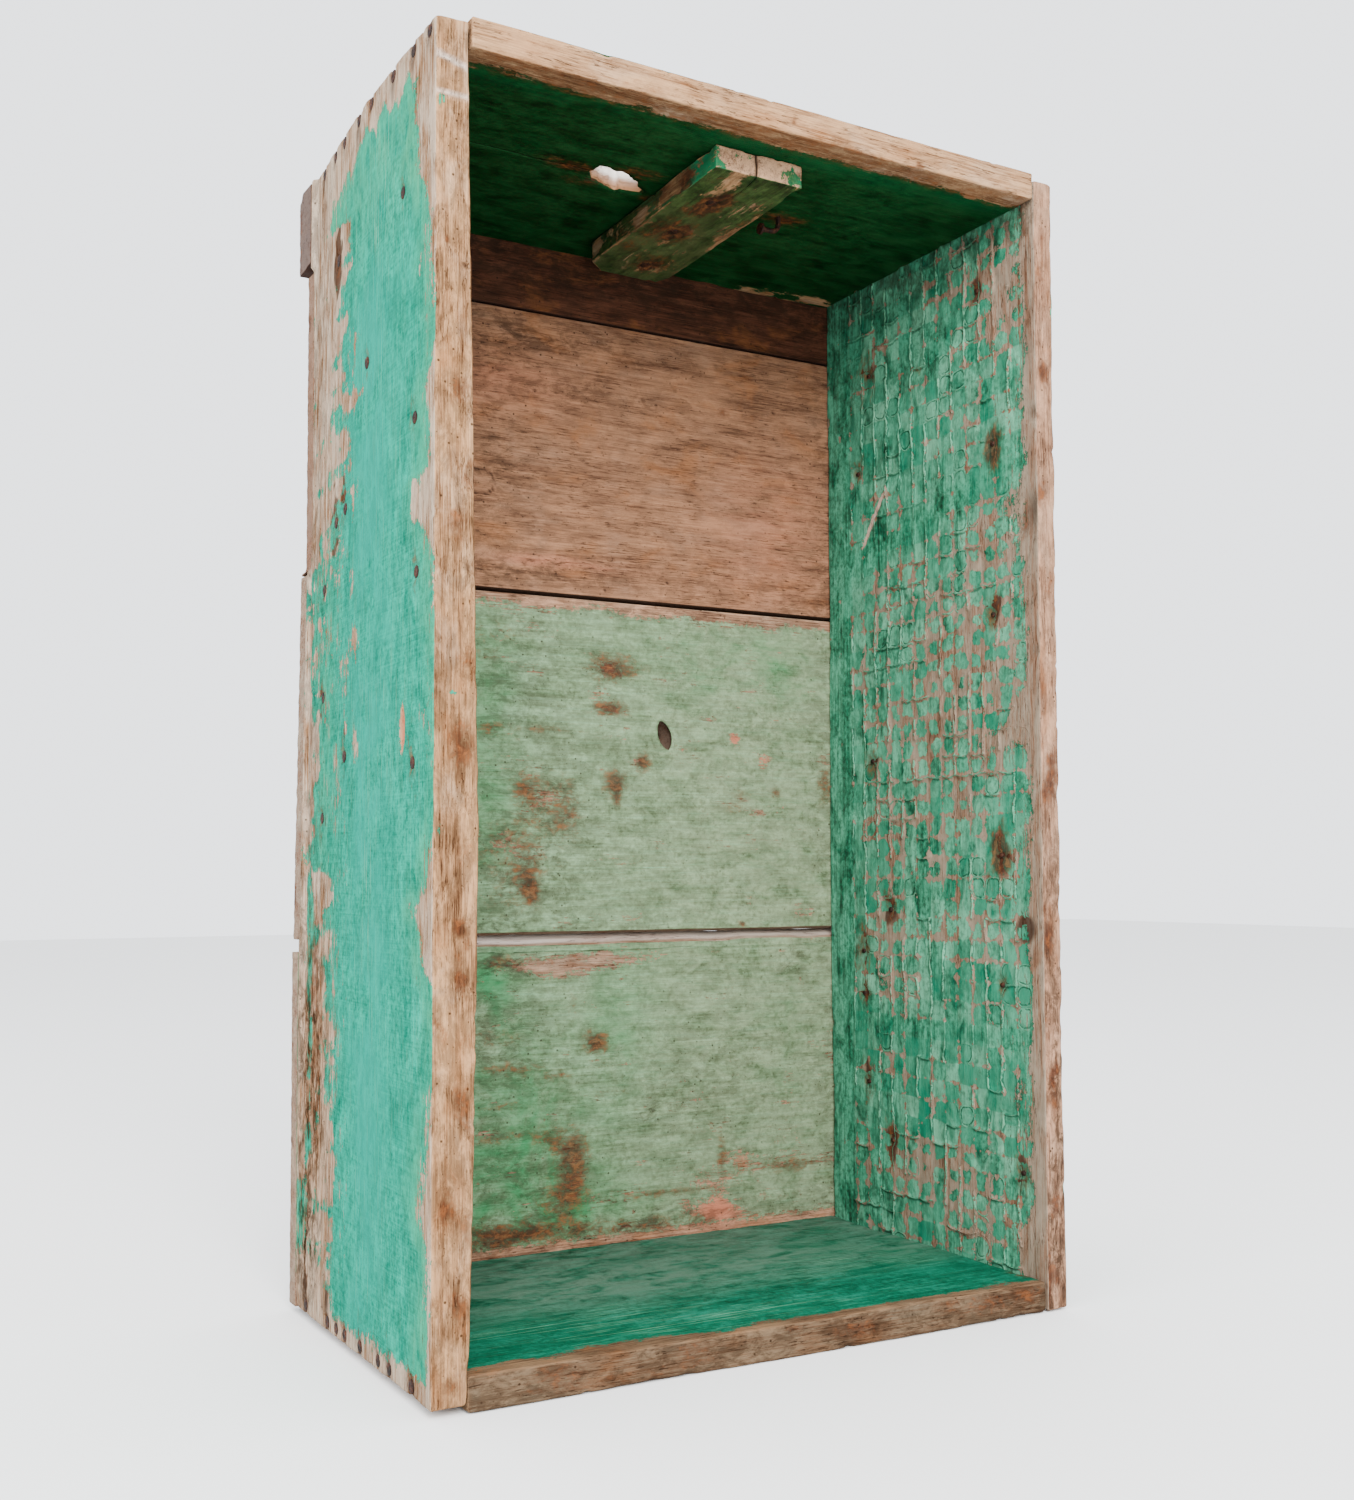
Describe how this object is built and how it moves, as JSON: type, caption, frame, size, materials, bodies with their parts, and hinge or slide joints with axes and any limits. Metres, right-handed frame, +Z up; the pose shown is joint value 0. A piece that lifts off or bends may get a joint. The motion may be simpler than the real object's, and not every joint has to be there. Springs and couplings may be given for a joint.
{
  "type": "nesting box",
  "caption": "Open-fronted nesting box of nailed boards standing on end, with slatted back boards and a batten under the top.",
  "frame": {"origin": "centre of the bounding box at floor level, under the box standing on its end", "axes": "+X to the right seen from the open front, +Y from the open front to the back boards, +Z up along the long side boards"},
  "size_m": [0.389, 0.233, 0.6635],
  "materials": {
    "turquoise_painted_board": "worn turquoise-green oil paint over weathered softwood, bare along the edges",
    "green_painted_board": "worn green paint over weathered softwood, with a raised wire-mesh imprint in the paint",
    "dark_green_painted_board": "dusty dark green paint, bare wood along the front edge",
    "pale_green_painted_board": "thin pale green paint, stained with rust and dirt",
    "bare_board": "raw weathered brown softwood",
    "rusty_iron": "rusty steel wire nails"
  },
  "bodies": {
    "root": {"left_side_board": "turquoise_painted_board", "right_side_board": "green_painted_board", "top_board": "dark_green_painted_board", "bottom_board": "dark_green_painted_board", "back_board_bottom": "pale_green_painted_board", "back_board_lower": "pale_green_painted_board", "back_board_upper": "bare_board", "back_board_top": "bare_board", "top_batten": "dark_green_painted_board", "batten_nails": "rusty_iron", "bent_nail": "rusty_iron", "left_top_nails": "rusty_iron", "left_bottom_nails": "rusty_iron", "right_top_nails": "rusty_iron", "right_bottom_nails": "rusty_iron", "left_old_nails_front": "rusty_iron", "left_old_nails_back": "rusty_iron", "right_old_nails_front": "rusty_iron", "right_old_nails_back": "rusty_iron", "back_nails_bottom": "rusty_iron", "back_nails_lower": "rusty_iron", "back_nails_upper": "rusty_iron", "back_nails_top": "rusty_iron"}
  },
  "joints": []
}
